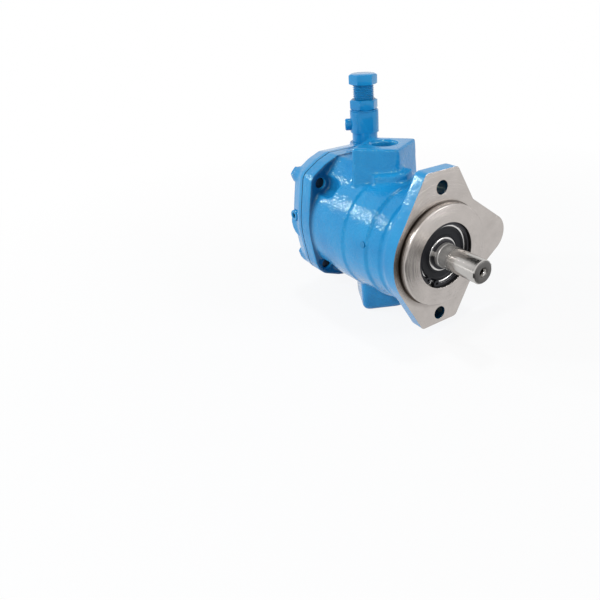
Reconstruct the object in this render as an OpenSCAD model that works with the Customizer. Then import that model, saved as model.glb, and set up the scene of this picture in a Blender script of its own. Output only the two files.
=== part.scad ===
// Variable displacement inline axial piston pump with a pressure compensator.
// Origin: centre of the pilot on the mounting face. The shaft points to -Y, the body to +Y, +Z is up.

/* [Mounting flange and pilot] */
// Diameter of the pilot that locates the pump
pilot_d = 82.55; // [60:0.05:130]
// Height of the pilot in front of the mounting face
pilot_h = 6.35; // [4:0.05:10]
// Distance between the two bolt holes
bolt_span = 106.4; // [90:0.1:150]
// Diameter of the bolt holes
bolt_hole_d = 11.1; // [8:0.1:16]
// Thickness of the flange plate
flange_t = 12; // [8:0.5:16]

/* [Shaft] */
// Diameter of the keyed shaft end
shaft_d = 19.05; // [16:0.05:19.6]
// Distance from the mounting face to the shaft's end
shaft_reach = 44.45; // [36:0.05:60]
// Width of the square key
key_w = 4.76; // [3:0.01:6]
// Length of the key
key_l = 22; // [12:0.5:28]
// Distance from the shaft's end to the key
key_inset = 3; // [2:0.5:6]

/* [Barrel] */
// Radius of the barrel behind the flange
barrel_front_r = 46.6; // [46:0.1:49]
// Radius of the barrel in the middle
barrel_mid_r = 50; // [49:0.1:52]
// Radius of the barrel at the rear
barrel_rear_r = 52.6; // [52:0.1:52.8]
// Radius of the cavity inside
cavity_r = 42; // [41.8:0.1:43]
// Height of the upper boss's top face above the shaft axis
top_boss_z = 74; // [70:0.5:80]
// Depth of the lower boss's face below the shaft axis
low_boss_z = 73; // [68:0.5:78]
// Side of the square bosses
boss_side = 37; // [34:0.5:40]
// Radius of the drain port's thread bore
drain_r = 10.3; // [8:0.1:11.5]

/* [Rotating group] */
// Number of pistons
pistons = 9; // [7:1:9]
// Radius of the circle that the pistons stand on
piston_circle_r = 21; // [20.8:0.1:21.4]
// Radius of a piston
piston_r = 5; // [4.6:0.05:5.1]
// Running clearance of pistons, shoes and journals on the radius
run_gap = 0.03; // [0.02:0.01:0.06]

/* [Rear cover] */
// Position of the cover's rear face at its edge
cover_edge_y = 140; // [138:0.5:144]
// Position of the machined faces of the ports
port_face_y = 153; // [151:0.5:158]
// Radius of the outlet port's thread bore
outlet_r = 10.3; // [8:0.1:11]
// Radius of the inlet port's thread bore
inlet_r = 12.6; // [10:0.1:12.8]

/* [Pressure compensator] */
// Distance of the compensator to the side of the shaft axis
comp_x = 29.2; // [28.5:0.1:30]
// Distance between the flats of the screw's head and the lock nut
comp_hex = 22.2; // [20:0.1:24]
// Radius of the adjusting screw's thread
adjust_r = 9.5; // [9:0.05:9.6]
// Height of the adjusting screw's top above the shaft axis
adjust_top_z = 119.1; // [117:0.1:124]

/* [Hidden] */
$fn = 96;

shaft_r = shaft_d / 2;
pilot_r = pilot_d / 2;

// Front bearing, 20 x 52 x 15
brg_y = -2.35;
brg_w = 15;
brg_bore_r = 10;
brg_out_r = 26;
brg_mid_y = brg_y + brg_w / 2;
ball_r = 4.7625;
ball_circle_r = 18;
balls = 7;
groove_r = ball_r + 0.07;
race_out_r = 22.2;
race_in_r = 13.8;

// Shaft seal and housing bores
seal_r = 21;
seal_y0 = 14.5;
seal_y1 = 22;
journal_r = 12.5;
cavity_y = 28;

// Housing rear flange and cover
flange2_y = 106.5;
gasket_y = 120;
gasket_t = 0.5;
cover_y = gasket_y + gasket_t;
screw_r = 4.7;
screw_xz = [[-39, 39.3], [39, 39.3], [-38, -36], [38, -36]];

// Swash plate group
pintle_y = 69;
pin_r = 8;
wear_y = 61;
wear_t = 3;
yoke_t = 12;
yoke_y = wear_y - wear_t - yoke_t;
slide_r = 14;
ball_joint_r = 4;
shoe_base_r = 6.4;
shoe_neck_r = 5.5;
block_y0 = 84;
block_r = 30.5;
port_plate_t = 3;
block_y1 = cover_y - port_plate_t - 0.05;

// Rear bearing
roller_r = 1.5;
rollers = 16;
rear_r = 8.5;
roller_circle_r = rear_r + roller_r + run_gap;
cup_in_r = roller_circle_r + roller_r + run_gap;
cup_out_r = 14;
cup_y0 = 124;
cup_y1 = 140;

// Control piston and yoke spring
control_x = 36.5;
control_head_r = 7;
control_rod_r = 3.5;

// Pressure compensator
comp_y = 135;
comp_base_z = 59.1;
comp_neck_z = 68;
comp_top_z = 87.2;
comp_body_r = 13.05;
comp_plug_z = 74.6;
spigot_r = 10.6;
chamber_r = 8.6;
washer_t = 1;
nut_h = 9;
head_h = 8.9;
spool_r = 4.5;

paint = [0.24, 0.6, 0.84];
iron = [0.72, 0.7, 0.68];
steel = [0.8, 0.8, 0.8];
dark = [0.16, 0.16, 0.17];
bronze = [0.72, 0.56, 0.3];

module y_cyl(r, y0, y1, x = 0, z = 0) {
  translate([x, y0, z]) rotate([-90, 0, 0]) cylinder(r = r, h = y1 - y0);
}

module z_cyl(r, z0, z1, x = 0, y = 0) {
  translate([x, y, z0]) cylinder(r = r, h = z1 - z0);
}

module y_turn(x = 0, z = 0) {
  translate([x, 0, z]) rotate([-90, 0, 0]) rotate_extrude() children();
}

// Extrudes an outline drawn in X and Z between two positions on Y.
module y_slab(y0, y1) {
  translate([0, y1, 0]) rotate([90, 0, 0]) linear_extrude(height = y1 - y0) children();
}

module tube_y(r_out, r_in, y0, y1) {
  difference() {
    y_cyl(r_out, y0, y1);
    y_cyl(r_in, y0 - 1, y1 + 1);
  }
}

module tube_z(r_out, r_in, z0, z1, x, y) {
  difference() {
    z_cyl(r_out, z0, z1, x, y);
    z_cyl(r_in, z0 - 1, z1 + 1, x, y);
  }
}

// Hexagonal prism on Z with both ends chamfered as on a turned bar.
module hex_z(af, z0, z1, x, y, turn, chamfer_top = 1, chamfer_low = 0.6) {
  tip_r = af / sqrt(3) + 0.2;
  h = z1 - z0;
  translate([x, y, z0]) intersection() {
    rotate([0, 0, turn]) cylinder(d = af / cos(30), h = h, $fn = 6);
    rotate_extrude() polygon([[0, 0], [tip_r - 2 * chamfer_low, 0], [tip_r, chamfer_low],
      [tip_r, h - chamfer_top], [tip_r - 2 * chamfer_top, h], [0, h]]);
  }
}

// Slot along an arc in the X and Z plane, angles from +X toward +Z.
module arc_slot(r, half_w, a0, a1) {
  far = 3 * r;
  mid = (a0 + a1) / 2;
  intersection() {
    difference() {
      circle(r = r + half_w);
      circle(r = r - half_w);
    }
    polygon([[0, 0], far * [cos(a0), sin(a0)], far * [cos(mid), sin(mid)], far * [cos(a1), sin(a1)]]);
  }
  for (a = [a0, a1]) translate([r * cos(a), r * sin(a)]) circle(r = half_w);
}

// Coil of round wire on the local Z axis.
module coil(mean_r, wire_r, length, turns) {
  linear_extrude(height = length, twist = -360 * turns, slices = 12 * turns, $fn = 12)
    translate([mean_r, 0]) circle(r = wire_r, $fn = 8);
}

// Castings

lobe_top_z = bolt_span / 2 + 13.4;
lobe_low_z = bolt_span / 2 + 9.2;
lobe_side_x = 71.4;
lobe_side_r = 17.2;
plate_r = 47;
line_r = plate_r - 0.05;

module lobe_outline(top) {
  cz = top - 5;
  cx = (plate_r - 5 - cz * sin(30)) / cos(30);
  polygon([[-line_r * cos(30), line_r * sin(30)], [-cx - 4.95 * cos(30), cz + 4.95 * sin(30)],
    [-cx, cz + 4.95], [cx, cz + 4.95], [cx + 4.95 * cos(30), cz + 4.95 * sin(30)],
    [line_r * cos(30), line_r * sin(30)]]);
  for (s = [-1, 1]) translate([s * cx, cz]) circle(r = 5);
}

module flange_outline() {
  side = lobe_side_x - lobe_side_r;
  circle(r = plate_r);
  lobe_outline(lobe_top_z);
  mirror([0, 1]) lobe_outline(lobe_low_z);
  translate([side, 0]) circle(r = lobe_side_r);
  ax = side + (lobe_side_r - 0.05) * cos(54);
  az = (lobe_side_r - 0.05) * sin(54);
  polygon([[0, 0], [30, az + (ax - 30) * tan(36)], [ax, az], [ax, -az],
    [30, -az - (ax - 30) * tan(36)]]);
}

module rear_outline() {
  polygon([[-20.5, 60.2], [20.5, 60.2], [32.5, 55.4], [45.4, 47.2], [48.2, 43.2], [51.9, 20],
    [53.6, 7], [53.4, -5], [51.4, -19], [48.8, -34], [46, -40.6], [41, -45.4], [26, -51.5],
    [12, -54], [-12, -54], [-26, -51.5], [-41, -45.4], [-46, -40.6], [-48.8, -34], [-51.4, -19],
    [-53.4, -5], [-53.6, 7], [-51.9, 20], [-48.2, 43.2], [-45.4, 47.2], [-32.5, 55.4]]);
}

module rounded_square(side, r) {
  h = side / 2 - r;
  square([side, 2 * h], center = true);
  square([2 * h, side], center = true);
  for (sx = [-1, 1], sy = [-1, 1]) translate([sx * h, sy * h]) circle(r = r, $fn = 32);
}

// Corners of the upper boss's face, measured from the pintle axis.
boss_corners = [[-29.4, 3.6], [-5.9, -25.8], [28.6, -5.9], [4.4, 24.5]];

module boss_layer(z, grow, r) {
  for (c = boss_corners) translate([0, pintle_y, z])
    translate(c * (boss_side / 37 + (grow - 1.42 * r) / norm(c))) cylinder(r = r, h = 0.2, $fn = 32);
}

module top_boss() {
  hull() {
    boss_layer(top_boss_z - 0.9, 0.4, 2.6);
    boss_layer(top_boss_z - 0.2, -0.4, 2.2);
    boss_layer(34, 3, 4);
  }
}

// Step at the foot of the upper boss, and the swell of the barrel up to the rear flange's top edge.
module top_web() {
  hull() for (c = [[-18.5, 56.5, 53], [-9, 42.8, 54.5], [-3, 39.2, 56], [5, 42.5, 58]])
    z_cyl(2.5, 40, c[2], c[0], c[1]);
}

module rear_swell() {
  hull() {
    y_slab(flange2_y, flange2_y + 1) polygon([[-20.5, 59.6], [20.5, 59.6], [33, 45.5], [33, 30],
      [-33, 30], [-33, 45.5]]);
    y_slab(84, 85) polygon([[-15, 58.6], [15, 58.6], [31, 41.5], [31, 30], [-31, 30], [-31, 41.5]]);
    y_slab(70, 71) polygon([[-15, 48.8], [15, 48.8], [29, 42], [29, 30], [-29, 30], [-29, 42]]);
  }
}

module low_boss() {
  hull() {
    translate([-2, pintle_y + 7.5, 4 - low_boss_z]) rotate([0, 0, -27]) linear_extrude(height = 0.2)
      rounded_square(boss_side + 0.5, 5);
    translate([-2, pintle_y + 7.5, -low_boss_z]) rotate([0, 0, -27]) linear_extrude(height = 0.2)
      rounded_square(boss_side - 6, 4);
    translate([-2, pintle_y + 7.5, 1.2 - low_boss_z]) rotate([0, 0, -27]) linear_extrude(height = 0.2)
      rounded_square(boss_side - 2.4, 4.5);
    translate([-2, pintle_y + 7.5, -38]) rotate([0, 0, -27]) linear_extrude(height = 0.2)
      rounded_square(boss_side + 3, 6);
  }
}

spot_a = 169;
spot_y = 35.5;
spot_r = barrel_mid_r - 1;

module housing() {
  color(paint) difference() {
    union() {
      difference() {
        y_slab(0, flange_t) flange_outline();
        for (s = [-1, 1]) y_cyl(bolt_hole_d / 2, -1, flange_t + 1, 0, s * bolt_span / 2);
        y_cyl(pilot_r + 0.9, -1, 0.6);
      }
      y_turn() polygon([[0, -pilot_h], [pilot_r - 0.8, -pilot_h], [pilot_r, 0.8 - pilot_h],
        [pilot_r, 1], [0, 1]]);
      y_turn() polygon([[0, 5], [barrel_front_r - 0.3, 5], [barrel_front_r, flange_t + 5],
        [barrel_front_r + 0.9, flange_t + 6], [barrel_front_r + 1.4, 31], [barrel_mid_r - 0.4, 33],
        [barrel_mid_r + 0.5, 59], [barrel_rear_r - 0.9, 61.5], [barrel_rear_r, 108], [0, 108]]);
      y_slab(flange2_y, gasket_y) rear_outline();
      top_boss();
      top_web();
      rear_swell();
      low_boss();
    }
    for (p = screw_xz) {
      y_cyl(9.2, 94, flange2_y + 0.4, p[0], p[1]);
      translate([p[0], 88, p[1]]) rotate([-90, 0, 0]) cylinder(r1 = 6.4, r2 = 9.2, h = 6.05);
      y_cyl(screw_r + 0.05, flange2_y - 1, gasket_y + 1, p[0], p[1]);
    }
    y_cyl(26.7, -pilot_h - 1, -4.4);
    y_cyl(27.4, -4.45, -2.33);
    y_cyl(brg_out_r + 0.02, -2.4, brg_y + brg_w);
    y_cyl(seal_r + 0.02, brg_y + brg_w - 1, seal_y1 + 0.05);
    y_cyl(15, seal_y1 - 1, cavity_y + 1);
    y_cyl(cavity_r, cavity_y, gasket_y + 1);
    z_cyl(12, 38, 58, 0, pintle_y);
    z_cyl(12, -58, -38, 0, pintle_y);
    z_cyl(drain_r, 57, top_boss_z + 1, 0, pintle_y);
    z_cyl(drain_r + 1.4, top_boss_z - 1.2, top_boss_z + 1, 0, pintle_y);
    rotate([0, 180 - spot_a, 0]) translate([-spot_r, spot_y, 0]) rotate([0, -90, 0])
      cylinder(r = 2.63, h = 10);
  }
}

module kidney_pair(half_w, a) {
  arc_slot(piston_circle_r, half_w, a, 180 - a);
  arc_slot(piston_circle_r, half_w, 180 + a, 360 - a);
}

outlet_z = 27;
inlet_z = -29;
head_y = 140;
plug_y = 134.6;
plug_z = 6;

module rear_cover() {
  color(paint) difference() {
    union() {
      hull() {
        y_slab(cover_y, cover_y + 4) rear_outline();
        y_slab(cover_edge_y - 1, cover_edge_y) scale([0.93, 0.955]) rear_outline();
      }
      for (p = screw_xz) y_cyl(8.4, cover_y, head_y, p[0], p[1]);
      y_slab(cover_edge_y - 1, 147) scale([0.8, 0.82]) rear_outline();
      y_cyl(18, cover_edge_y - 1, port_face_y, 0, outlet_z);
      y_cyl(20, cover_edge_y - 1, port_face_y, 0, inlet_z);
      z_cyl(14.4, 30, comp_base_z, comp_x, comp_y);
      translate([-51.6, 131.6, -2]) rotate([0, 90, 0]) cylinder(r = 11, h = 12);
    }
    for (p = screw_xz) {
      y_cyl(screw_r + 0.5, cover_y - 1, cover_edge_y + 1, p[0], p[1]);
      y_cyl(8.3, head_y, port_face_y + 1, p[0], p[1]);
    }
    y_cyl(cup_out_r + 0.02, cover_y - 1, cup_y1 + 1);
    y_cyl(10, cup_y1, cup_y1 + 4);
    y_slab(cover_y - 1, 135.6) kidney_pair(2.6, 27);
    y_cyl(outlet_r, 135, port_face_y + 1, 0, outlet_z);
    y_cyl(outlet_r + 1.2, port_face_y - 1, port_face_y + 1, 0, outlet_z);
    y_cyl(inlet_r, 135, port_face_y + 1, 0, inlet_z);
    y_cyl(inlet_r + 1.4, port_face_y - 1, port_face_y + 1, 0, inlet_z);
    y_cyl(control_head_r + run_gap, cover_y - 1, 143, control_x, 0);
    y_cyl(6, cover_y - 1, 129.8, -control_x, 0);
    z_cyl(spool_r + run_gap, 14, 47, comp_x, comp_y);
    z_cyl(1.6, 4, 15, comp_x + 4, comp_y);
    z_cyl(spigot_r + 0.05, 46.2, comp_base_z + 1, comp_x, comp_y);
    z_cyl(12.45, 57.3, comp_base_z + 1, comp_x, comp_y);
    translate([-60, plug_y, plug_z]) rotate([0, 90, 0]) cylinder(r = 5.05, h = 16);
    translate([-60, plug_y, plug_z]) rotate([0, 90, 0]) cylinder(r = 2, h = 20);
  }
}

module cover_gasket() {
  color(dark) difference() {
    y_slab(gasket_y, cover_y) rear_outline();
    y_cyl(43.7, gasket_y - 1, cover_y + 1);
    for (p = screw_xz) y_cyl(screw_r + 0.6, gasket_y - 1, cover_y + 1, p[0], p[1]);
  }
}

module cover_screws() {
  color(paint) for (p = screw_xz) {
    y_cyl(screw_r, 110, head_y + 1, p[0], p[1]);
    translate([p[0], head_y, p[1]]) rotate([-90, 0, 0]) {
      cylinder(r = 7.8, h = 1);
      hex_z(13, 0.9, 5.8, 0, 0, 12);
    }
  }
}

// Front bearing, rings and seal

module race_groove() {
  y_turn() translate([ball_circle_r, brg_mid_y]) circle(r = groove_r, $fn = 64);
}

module bearing_outer_race() {
  color(steel) difference() {
    tube_y(brg_out_r, race_out_r, brg_y, brg_y + brg_w);
    race_groove();
  }
}

module bearing_inner_race() {
  color(steel) difference() {
    tube_y(race_in_r, brg_bore_r + 0.02, brg_y, brg_y + brg_w);
    race_groove();
  }
}

module ball_places() {
  for (i = [0:balls - 1]) rotate([0, 360 / balls * (i + 0.5), 0]) translate([ball_circle_r, brg_mid_y, 0]) children();
}

module bearing_balls() {
  color(steel) ball_places() sphere(r = ball_r, $fn = 48);
}

module bearing_cage() {
  color(bronze) difference() {
    tube_y(18.9, 17.1, brg_mid_y - 5.3, brg_mid_y + 5.3);
    ball_places() rotate([0, 90, 0]) cylinder(r = ball_r + 0.06, h = 8, center = true);
  }
}

module bearing_seals() {
  color(dark) for (y = [brg_y + 0.4, brg_y + brg_w - 1.4])
    tube_y(race_out_r - 0.05, race_in_r + 0.1, y, y + 1);
}

module bore_retaining_ring() {
  color(dark) difference() {
    union() {
      difference() {
        tube_y(27.3, 24, -4.4, -2.4);
        y_slab(-5, -2) polygon([[0, 0], [60, 60 * tan(9)], [60, -60 * tan(9)]]);
      }
      for (s = [-1, 1]) rotate([0, s * 13, 0]) y_cyl(2.9, -4.4, -2.4, 23.9, 0);
    }
    for (s = [-1, 1]) rotate([0, s * 13, 0]) y_cyl(1.1, -5, -2, 23.6, 0);
  }
}

module shaft_retaining_ring() {
  color(steel) difference() {
    tube_y(12.3, 9.62, -3.55, -2.4);
    y_slab(-5, -2) polygon([[0, 0], [-40, 5], [-40, 22]]);
  }
}

module shaft_seal() {
  color(dark) y_turn() polygon([[seal_r, seal_y0], [seal_r, seal_y1], [19.5, seal_y1], [19.5, 16.6],
    [15.2, 16.6], [14.8, 20.4], [13.4, 20.4], [journal_r + 0.05, 18.8], [13, seal_y0]]);
}

// Shaft

key_y = key_inset - shaft_reach;
key_top = 11.63;

module shaft() {
  color(steel) difference() {
    y_turn() polygon([[0, -shaft_reach], [shaft_r - 1.3, -shaft_reach], [shaft_r, 1.3 - shaft_reach],
      [shaft_r, -7], [brg_bore_r, -6.4], [brg_bore_r, -3.65], [9.58, -3.65], [9.58, -2.35],
      [brg_bore_r, -2.35], [brg_bore_r, brg_y + brg_w + 0.05], [journal_r, brg_y + brg_w + 0.05],
      [journal_r, 27], [brg_bore_r, 28], [brg_bore_r, 117.6], [rear_r, 118], [rear_r, 142.4],
      [rear_r - 0.8, 143.2], [0, 143.2]]);
    translate([key_top - key_w - 0.02, key_y - 0.02, -key_w / 2 - 0.01])
      cube([10, key_l + 0.04, key_w + 0.02]);
    y_turn() polygon([[0, -shaft_reach - 1], [4.6, -shaft_reach - 1], [2.6, 2.4 - shaft_reach],
      [2.6, 12 - shaft_reach], [0, 13.5 - shaft_reach]]);
  }
}

module shaft_key() {
  color(steel) translate([key_top - key_w, key_y, -key_w / 2]) cube([key_w, key_l, key_w]);
}

// Swash plate group

module yoke() {
  color(iron) difference() {
    union() {
      y_cyl(31, yoke_y, yoke_y + yoke_t);
      translate([-41, yoke_y, -6]) cube([82, yoke_t - 2, 12]);
      for (s = [0, 180]) rotate([0, s, 0]) {
        translate([-11, yoke_y, 30.6]) cube([22, pintle_y - yoke_y, 8.9]);
        z_cyl(11, 30.6, 39.5, 0, pintle_y);
        translate([-11, yoke_y, 26]) cube([22, yoke_t, 10]);
      }
    }
    y_cyl(16, yoke_y - 1, yoke_y + yoke_t + 1);
    z_cyl(pin_r + 0.01, 29, 41, 0, pintle_y);
    z_cyl(pin_r + 0.01, -41, -29, 0, pintle_y);
  }
}

module pintle_pins() {
  color(steel) for (s = [0, 180]) rotate([0, s, 0]) z_cyl(pin_r, 30.7, 55.6, 0, pintle_y);
}

module pintle_bearings() {
  color(bronze) for (s = [0, 180]) rotate([0, s, 0]) tube_z(11.98, pin_r + 0.04, 43.5, 56, 0, pintle_y);
}

module wear_plate() {
  color(bronze) tube_y(30.5, 14.6, wear_y - wear_t + 0.02, wear_y - 0.02);
}

module piston_place(i) {
  a = 360 / pistons * i + 10;
  translate([piston_circle_r * cos(a), 0, piston_circle_r * sin(a)]) children();
}

module piston(i) {
  color(steel) piston_place(i) difference() {
    union() {
      translate([0, pintle_y, 0]) sphere(r = ball_joint_r, $fn = 48);
      y_turn() polygon([[0, pintle_y], [2.7, pintle_y], [2.7, 74], [piston_r, 77], [piston_r, 108], [0, 108]]);
    }
    y_cyl(2.9, 86, 109);
    y_cyl(0.5, 60, 90);
  }
}

module shoe(i) {
  color(bronze) piston_place(i) difference() {
    union() {
      y_cyl(shoe_base_r, wear_y, wear_y + 2.2);
      y_cyl(shoe_neck_r, wear_y + 2, pintle_y + 2.2);
    }
    y_turn() polygon(concat([for (a = [-90:10:35]) (ball_joint_r + 0.07) * [cos(a), sin(a)] + [0, pintle_y]],
      [[4.3, pintle_y + 3], [0, pintle_y + 3]]));
    y_cyl(0.6, wear_y - 1, pintle_y);
    y_cyl(4.4, wear_y - 1, wear_y + 0.5);
  }
}

module shoe_plate() {
  color(steel) difference() {
    y_cyl(29.2, wear_y + 2.4, wear_y + 4.6);
    translate([0, pintle_y, 0]) sphere(r = slide_r + 0.08);
    for (i = [1:pistons]) piston_place(i) y_cyl(shoe_neck_r + 0.25, wear_y, wear_y + 6);
  }
}

module spherical_washer() {
  bore = brg_bore_r + 0.05;
  color(steel) y_turn() polygon(concat([[bore, 78.4], [bore, pintle_y + slide_r * sin(-28)]],
    [for (a = [-28:4:12]) [slide_r * cos(a), pintle_y + slide_r * sin(a)]], [[slide_r * cos(12), 78.4]]));
}

module block_push_pins() {
  color(steel) for (a = [30, 150, 270])
    y_cyl(1.1, 78.45, 84.6, 12.2 * cos(a), 12.2 * sin(a));
}

module block_spring_washer() {
  color(steel) tube_y(14, brg_bore_r + 0.1, 84.65, 86.2);
}

module block_spring() {
  color(steel) translate([0, 86.3, 0]) rotate([-90, 0, 0]) coil(12.1, 0.95, 17.5, 5);
}

module cylinder_block() {
  color(steel) difference() {
    y_turn() polygon([[brg_bore_r + 0.05, 104], [14.2, 104], [14.2, block_y0], [block_r - 1, block_y0],
      [block_r, block_y0 + 1], [block_r, block_y1 - 6], [block_r - 2.5, block_y1 - 5],
      [block_r - 2.5, block_y1], [brg_bore_r + 0.05, block_y1]]);
    for (i = [1:pistons]) piston_place(i) {
      y_cyl(piston_r + run_gap, block_y0 - 1, 114);
      y_cyl(3, 113, block_y1 + 1);
    }
  }
}

module port_plate() {
  color(bronze) difference() {
    tube_y(29.5, 12, block_y1 + 0.05, cover_y);
    y_slab(block_y1 - 1, cover_y + 1) kidney_pair(2.6, 27);
  }
}

// Rear bearing

module roller_places() {
  for (i = [0:rollers - 1]) rotate([0, 360 / rollers * i, 0]) translate([roller_circle_r, 0, 0]) children();
}

module rear_bearing_cup() {
  color(steel) difference() {
    y_cyl(cup_out_r, cup_y0, cup_y1);
    y_cyl(cup_in_r, cup_y0 + 1, cup_y1 - 1);
    y_cyl(rear_r + 1, cup_y0 - 1, cup_y1 + 1);
  }
}

module rear_bearing_rollers() {
  color(steel) roller_places() y_cyl(roller_r, cup_y0 + 2.5, cup_y1 - 2.5);
}

module rear_bearing_cage() {
  color(bronze) difference() {
    tube_y(roller_circle_r + 0.75, roller_circle_r - 0.75, cup_y0 + 1.2, cup_y1 - 1.2);
    roller_places() y_cyl(roller_r + 0.06, cup_y0 + 2.4, cup_y1 - 2.4);
  }
}

// Displacement control

module control_piston() {
  color(steel) {
    y_cyl(control_rod_r, yoke_y + yoke_t - 1.7, 122, control_x, 0);
    y_cyl(control_head_r, 121.5, 137, control_x, 0);
  }
}

module yoke_spring_seat() {
  color(steel) {
    y_cyl(4.9, yoke_y + yoke_t - 1.7, 59.4, -control_x, 0);
    y_cyl(2.4, 59, 70, -control_x, 0);
  }
}

module yoke_spring() {
  color(steel) translate([-control_x, 59.5, 0]) rotate([-90, 0, 0]) coil(3.9, 0.75, 70, 15);
}

// Pressure compensator

plug_seat = 11.2;
comp_flats = 22;

// Places a part on the side port's axis, at a distance from the compensator's axis.
module comp_side(d) {
  translate([comp_x, comp_y, comp_plug_z]) rotate([0, 0, -36]) rotate([0, -90, 0]) translate([0, 0, d])
    children();
}

module compensator_body() {
  color(paint) difference() {
    union() {
      intersection() {
        z_cyl(comp_body_r, comp_neck_z, comp_top_z, comp_x, comp_y);
        translate([comp_x, comp_y, comp_neck_z]) rotate([0, 0, 58]) translate([-comp_flats / 2, -20, 0])
          cube([comp_flats, 40, 30]);
      }
      z_cyl(11.6, comp_base_z, comp_neck_z + 0.5, comp_x, comp_y);
      z_cyl(spigot_r, 50, comp_base_z + 1, comp_x, comp_y);
    }
    z_cyl(chamber_r, 49, 71, comp_x, comp_y);
    z_cyl(adjust_r + 0.06, 70, comp_top_z + 1, comp_x, comp_y);
    comp_side(0) cylinder(r = 3.53, h = 20);
    comp_side(plug_seat) cylinder(r = 5.75, h = 20);
  }
}

module compensator_oring() {
  color(dark) translate([comp_x, comp_y, 58.2]) rotate_extrude() translate([11.53, 0]) circle(r = 0.85, $fn = 32);
}

module compensator_side_plug() {
  color(paint) {
    comp_side(adjust_r + 0.4) cylinder(r = 3.5, h = 1.5);
    comp_side(plug_seat) cylinder(r = 5.4, h = 5.7);
    comp_side(plug_seat + 5.65) cylinder(r1 = 5.4, r2 = 4.7, h = 0.8);
  }
}

washer_z = comp_top_z + 0.02;
nut_z = washer_z + washer_t + 0.02;
head_z = adjust_top_z - head_h;

module lock_nut_washer() {
  color(paint) tube_z(12.4, adjust_r + 0.05, washer_z, washer_z + washer_t, comp_x, comp_y);
}

module lock_nut() {
  color(paint) difference() {
    hex_z(comp_hex, nut_z, nut_z + nut_h, comp_x, comp_y, 37.7, 1.1, 0.5);
    z_cyl(adjust_r + 0.05, nut_z - 1, nut_z + nut_h + 1, comp_x, comp_y);
  }
}

module adjusting_screw() {
  color(paint) {
    hex_z(comp_hex, head_z, adjust_top_z, comp_x, comp_y, 30.5, 1.2, 0.4);
    z_cyl(adjust_r, 77, head_z + 1, comp_x, comp_y);
  }
}

module spring_seat() {
  color(steel) {
    z_cyl(8.3, 73.5, 76.95, comp_x, comp_y);
    z_cyl(4, 70, 74, comp_x, comp_y);
  }
}

module compensator_spring() {
  color(steel) translate([comp_x, comp_y, 49.8]) coil(6.4, 1, 23.5, 6);
}

module compensator_spool() {
  color(steel) difference() {
    union() {
      z_cyl(spool_r, 17, 47.5, comp_x, comp_y);
      z_cyl(7.8, 47.3, 49.7, comp_x, comp_y);
    }
    tube_z(8, 2.8, 23, 28, comp_x, comp_y);
    tube_z(8, 2.8, 33, 38, comp_x, comp_y);
  }
}

// Plugs

module cover_side_plug() {
  color(steel) translate([-52.8, plug_y, plug_z]) rotate([0, 90, 0]) difference() {
    union() {
      translate([0, 0, 1.6]) cylinder(r = 5, h = 7);
      cylinder(r1 = 4.6, r2 = 5, h = 1.65);
    }
    translate([0, 0, -1]) cylinder(d = 5 / cos(30), h = 5.5, $fn = 6);
  }
}

module housing_side_plug() {
  color(iron) rotate([0, 180 - spot_a, 0]) translate([-spot_r - 0.05, spot_y, 0]) rotate([0, -90, 0])
    cylinder(r = 2.6, h = 1.1);
}

housing();
rear_cover();
cover_gasket();
cover_screws();
bearing_outer_race();
bearing_inner_race();
bearing_balls();
bearing_cage();
bearing_seals();
bore_retaining_ring();
shaft_retaining_ring();
shaft();
shaft_key();
shaft_seal();
yoke();
pintle_pins();
pintle_bearings();
wear_plate();
shoe_plate();
spherical_washer();
block_push_pins();
block_spring_washer();
block_spring();
cylinder_block();
port_plate();
rear_bearing_cup();
rear_bearing_rollers();
rear_bearing_cage();
control_piston();
yoke_spring();
yoke_spring_seat();
compensator_body();
compensator_oring();
compensator_side_plug();
lock_nut_washer();
lock_nut();
adjusting_screw();
spring_seat();
compensator_spring();
compensator_spool();
cover_side_plug();
housing_side_plug();
for (i = [1:pistons]) {
  piston(i);
  shoe(i);
}
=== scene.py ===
import math
import bpy
import bmesh
from mathutils import Matrix, Vector


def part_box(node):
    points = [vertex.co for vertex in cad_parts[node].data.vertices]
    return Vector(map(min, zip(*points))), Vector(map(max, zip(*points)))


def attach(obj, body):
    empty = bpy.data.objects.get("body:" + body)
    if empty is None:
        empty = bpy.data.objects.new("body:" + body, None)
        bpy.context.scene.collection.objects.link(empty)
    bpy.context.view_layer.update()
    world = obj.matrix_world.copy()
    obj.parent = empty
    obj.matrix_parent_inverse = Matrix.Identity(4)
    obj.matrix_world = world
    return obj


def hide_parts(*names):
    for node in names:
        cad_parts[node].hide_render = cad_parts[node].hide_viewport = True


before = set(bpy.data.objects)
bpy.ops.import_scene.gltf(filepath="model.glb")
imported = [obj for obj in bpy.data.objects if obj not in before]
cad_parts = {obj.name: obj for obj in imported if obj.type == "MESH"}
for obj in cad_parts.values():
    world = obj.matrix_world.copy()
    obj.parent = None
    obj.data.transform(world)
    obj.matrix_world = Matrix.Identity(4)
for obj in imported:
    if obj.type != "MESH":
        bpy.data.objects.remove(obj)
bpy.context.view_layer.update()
mm = 0.001
scene = bpy.context.scene
print("frame loaded")


# camera at the photograph's viewing angle, in millimetres and degrees
cameraView = {"place": (-285.03, -300.11, 190.84), "turn": (64.86, 2.2, -36.092),
              "lens": 35.0088, "shiftX": -0.1038, "shiftY": -0.0705}


def placeCamera():
    lens = bpy.data.cameras.new("pumpCamera")
    lens.sensor_width = 36
    lens.lens = cameraView["lens"]
    lens.shift_x = cameraView["shiftX"]
    lens.shift_y = cameraView["shiftY"]
    lens.clip_start = 0.02
    lens.clip_end = 60
    camera = bpy.data.objects.new("pumpCamera", lens)
    camera.location = [v * mm for v in cameraView["place"]]
    camera.rotation_euler = [math.radians(a) for a in cameraView["turn"]]
    scene.collection.objects.link(camera)
    scene.camera = camera


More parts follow.
